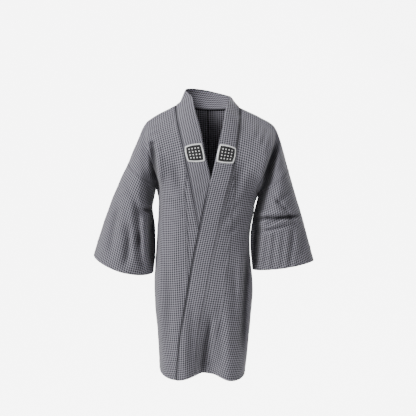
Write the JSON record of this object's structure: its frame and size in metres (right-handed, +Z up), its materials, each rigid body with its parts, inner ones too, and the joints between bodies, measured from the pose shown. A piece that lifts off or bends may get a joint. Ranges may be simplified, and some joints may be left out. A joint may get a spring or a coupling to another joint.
{
  "type": "long festival kimono coat",
  "caption": "Long wrap-front festival kimono coat with one collar band, wide open sleeves and two applied squares on the collar, hollow as when worn.",
  "frame": {"origin": "where the coat rests on the wearer's shoulders, in the middle of the neck, level with the top of the shoulders", "axes": "+Z up, the wearer faces -Y, the wearer's left is +X"},
  "size_m": [0.769, 0.2469, 1.0037],
  "materials": {
    "check_cotton": "matt plain-woven cotton in a fine white and near-black check",
    "applied_patch": "matt black cotton with a white edge"
  },
  "bodies": {
    "root": {"body_left": "check_cotton", "body_right": "check_cotton", "collar": "check_cotton", "collar_patch_left": "applied_patch", "collar_patch_right": "applied_patch", "front_extension_left": "check_cotton", "front_extension_right": "check_cotton", "sleeve_left": "check_cotton", "sleeve_right": "check_cotton"}
  },
  "joints": []
}
